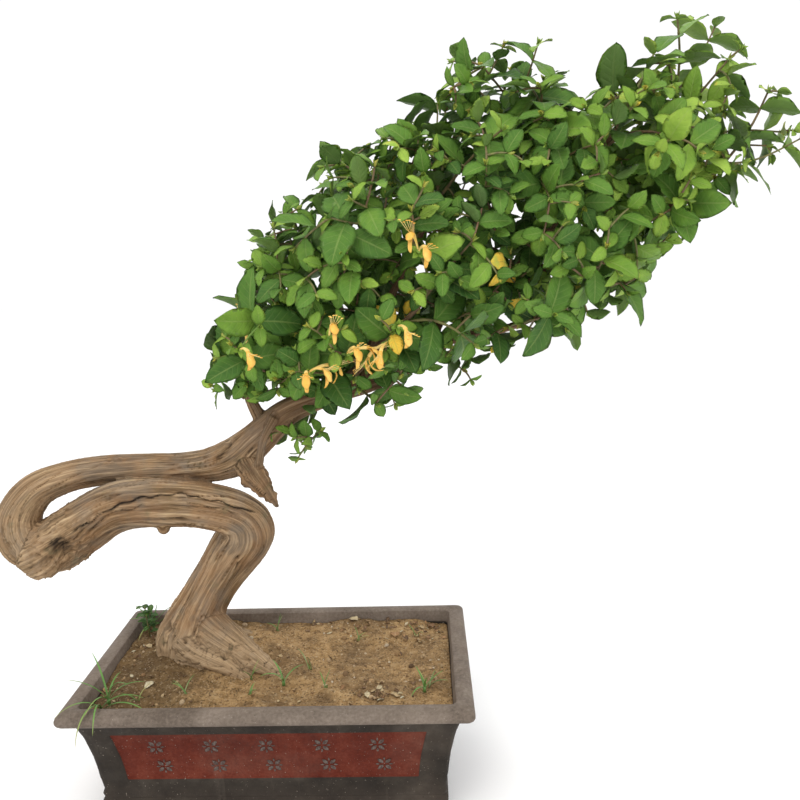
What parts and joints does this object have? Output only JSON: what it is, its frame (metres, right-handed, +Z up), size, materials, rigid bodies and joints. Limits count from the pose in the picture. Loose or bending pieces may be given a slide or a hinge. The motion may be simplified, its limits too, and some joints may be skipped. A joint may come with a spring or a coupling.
{
  "type": "potted honeysuckle bonsai",
  "caption": "Honeysuckle vine trained as a leaning tree: a folded, burled trunk with a leafy flowering crown, in a rectangular stoneware pot of soil.",
  "frame": {"origin": "on the ground, under the middle of the bounding box of the whole", "axes": "+Z up; +X along the pot's length, towards the side the crown leans to; +Y away from the panel side that the picture shows"},
  "size_m": [0.8614, 0.3066, 0.8218],
  "materials": {
    "clay": "unglazed, matt",
    "earth": "dry sandy soil",
    "bark": "weathered bark",
    "leaf": "satin leaf",
    "petal": "soft petal",
    "grass": "satin blade"
  },
  "bodies": {
    "root": {"pot": "clay", "soil": "earth", "trunk": "bark", "shoot_01": "leaf", "flowers_1": "petal", "shoot_02": "leaf", "flowers_2": "petal", "shoot_03": "leaf", "flowers_3": "petal", "shoot_04": "leaf", "flowers_4": "petal", "shoot_05": "leaf", "flowers_5": "petal", "shoot_06": "leaf", "shoot_07": "leaf", "shoot_08": "leaf", "shoot_09": "leaf", "shoot_10": "leaf", "shoot_11": "leaf", "shoot_12": "leaf", "shoot_13": "leaf", "shoot_14": "leaf", "shoot_15": "leaf", "shoot_16": "leaf", "shoot_17": "leaf", "shoot_18": "leaf", "shoot_19": "leaf", "shoot_20": "leaf", "shoot_21": "leaf", "shoot_22": "leaf", "shoot_23": "leaf", "shoot_24": "leaf", "shoot_25": "leaf", "shoot_26": "leaf", "shoot_27": "leaf", "shoot_28": "leaf", "shoot_29": "leaf", "shoot_30": "leaf", "shoot_31": "leaf", "shoot_32": "leaf", "shoot_33": "leaf", "shoot_34": "leaf", "shoot_35": "leaf", "shoot_36": "leaf", "shoot_37": "leaf", "shoot_38": "leaf", "shoot_39": "leaf", "shoot_40": "leaf", "shoot_41": "leaf", "shoot_42": "leaf", "shoot_43": "leaf", "shoot_44": "leaf", "grass_1": "grass", "grass_2": "grass", "grass_3": "grass", "grass_4": "grass"}
  },
  "joints": []
}
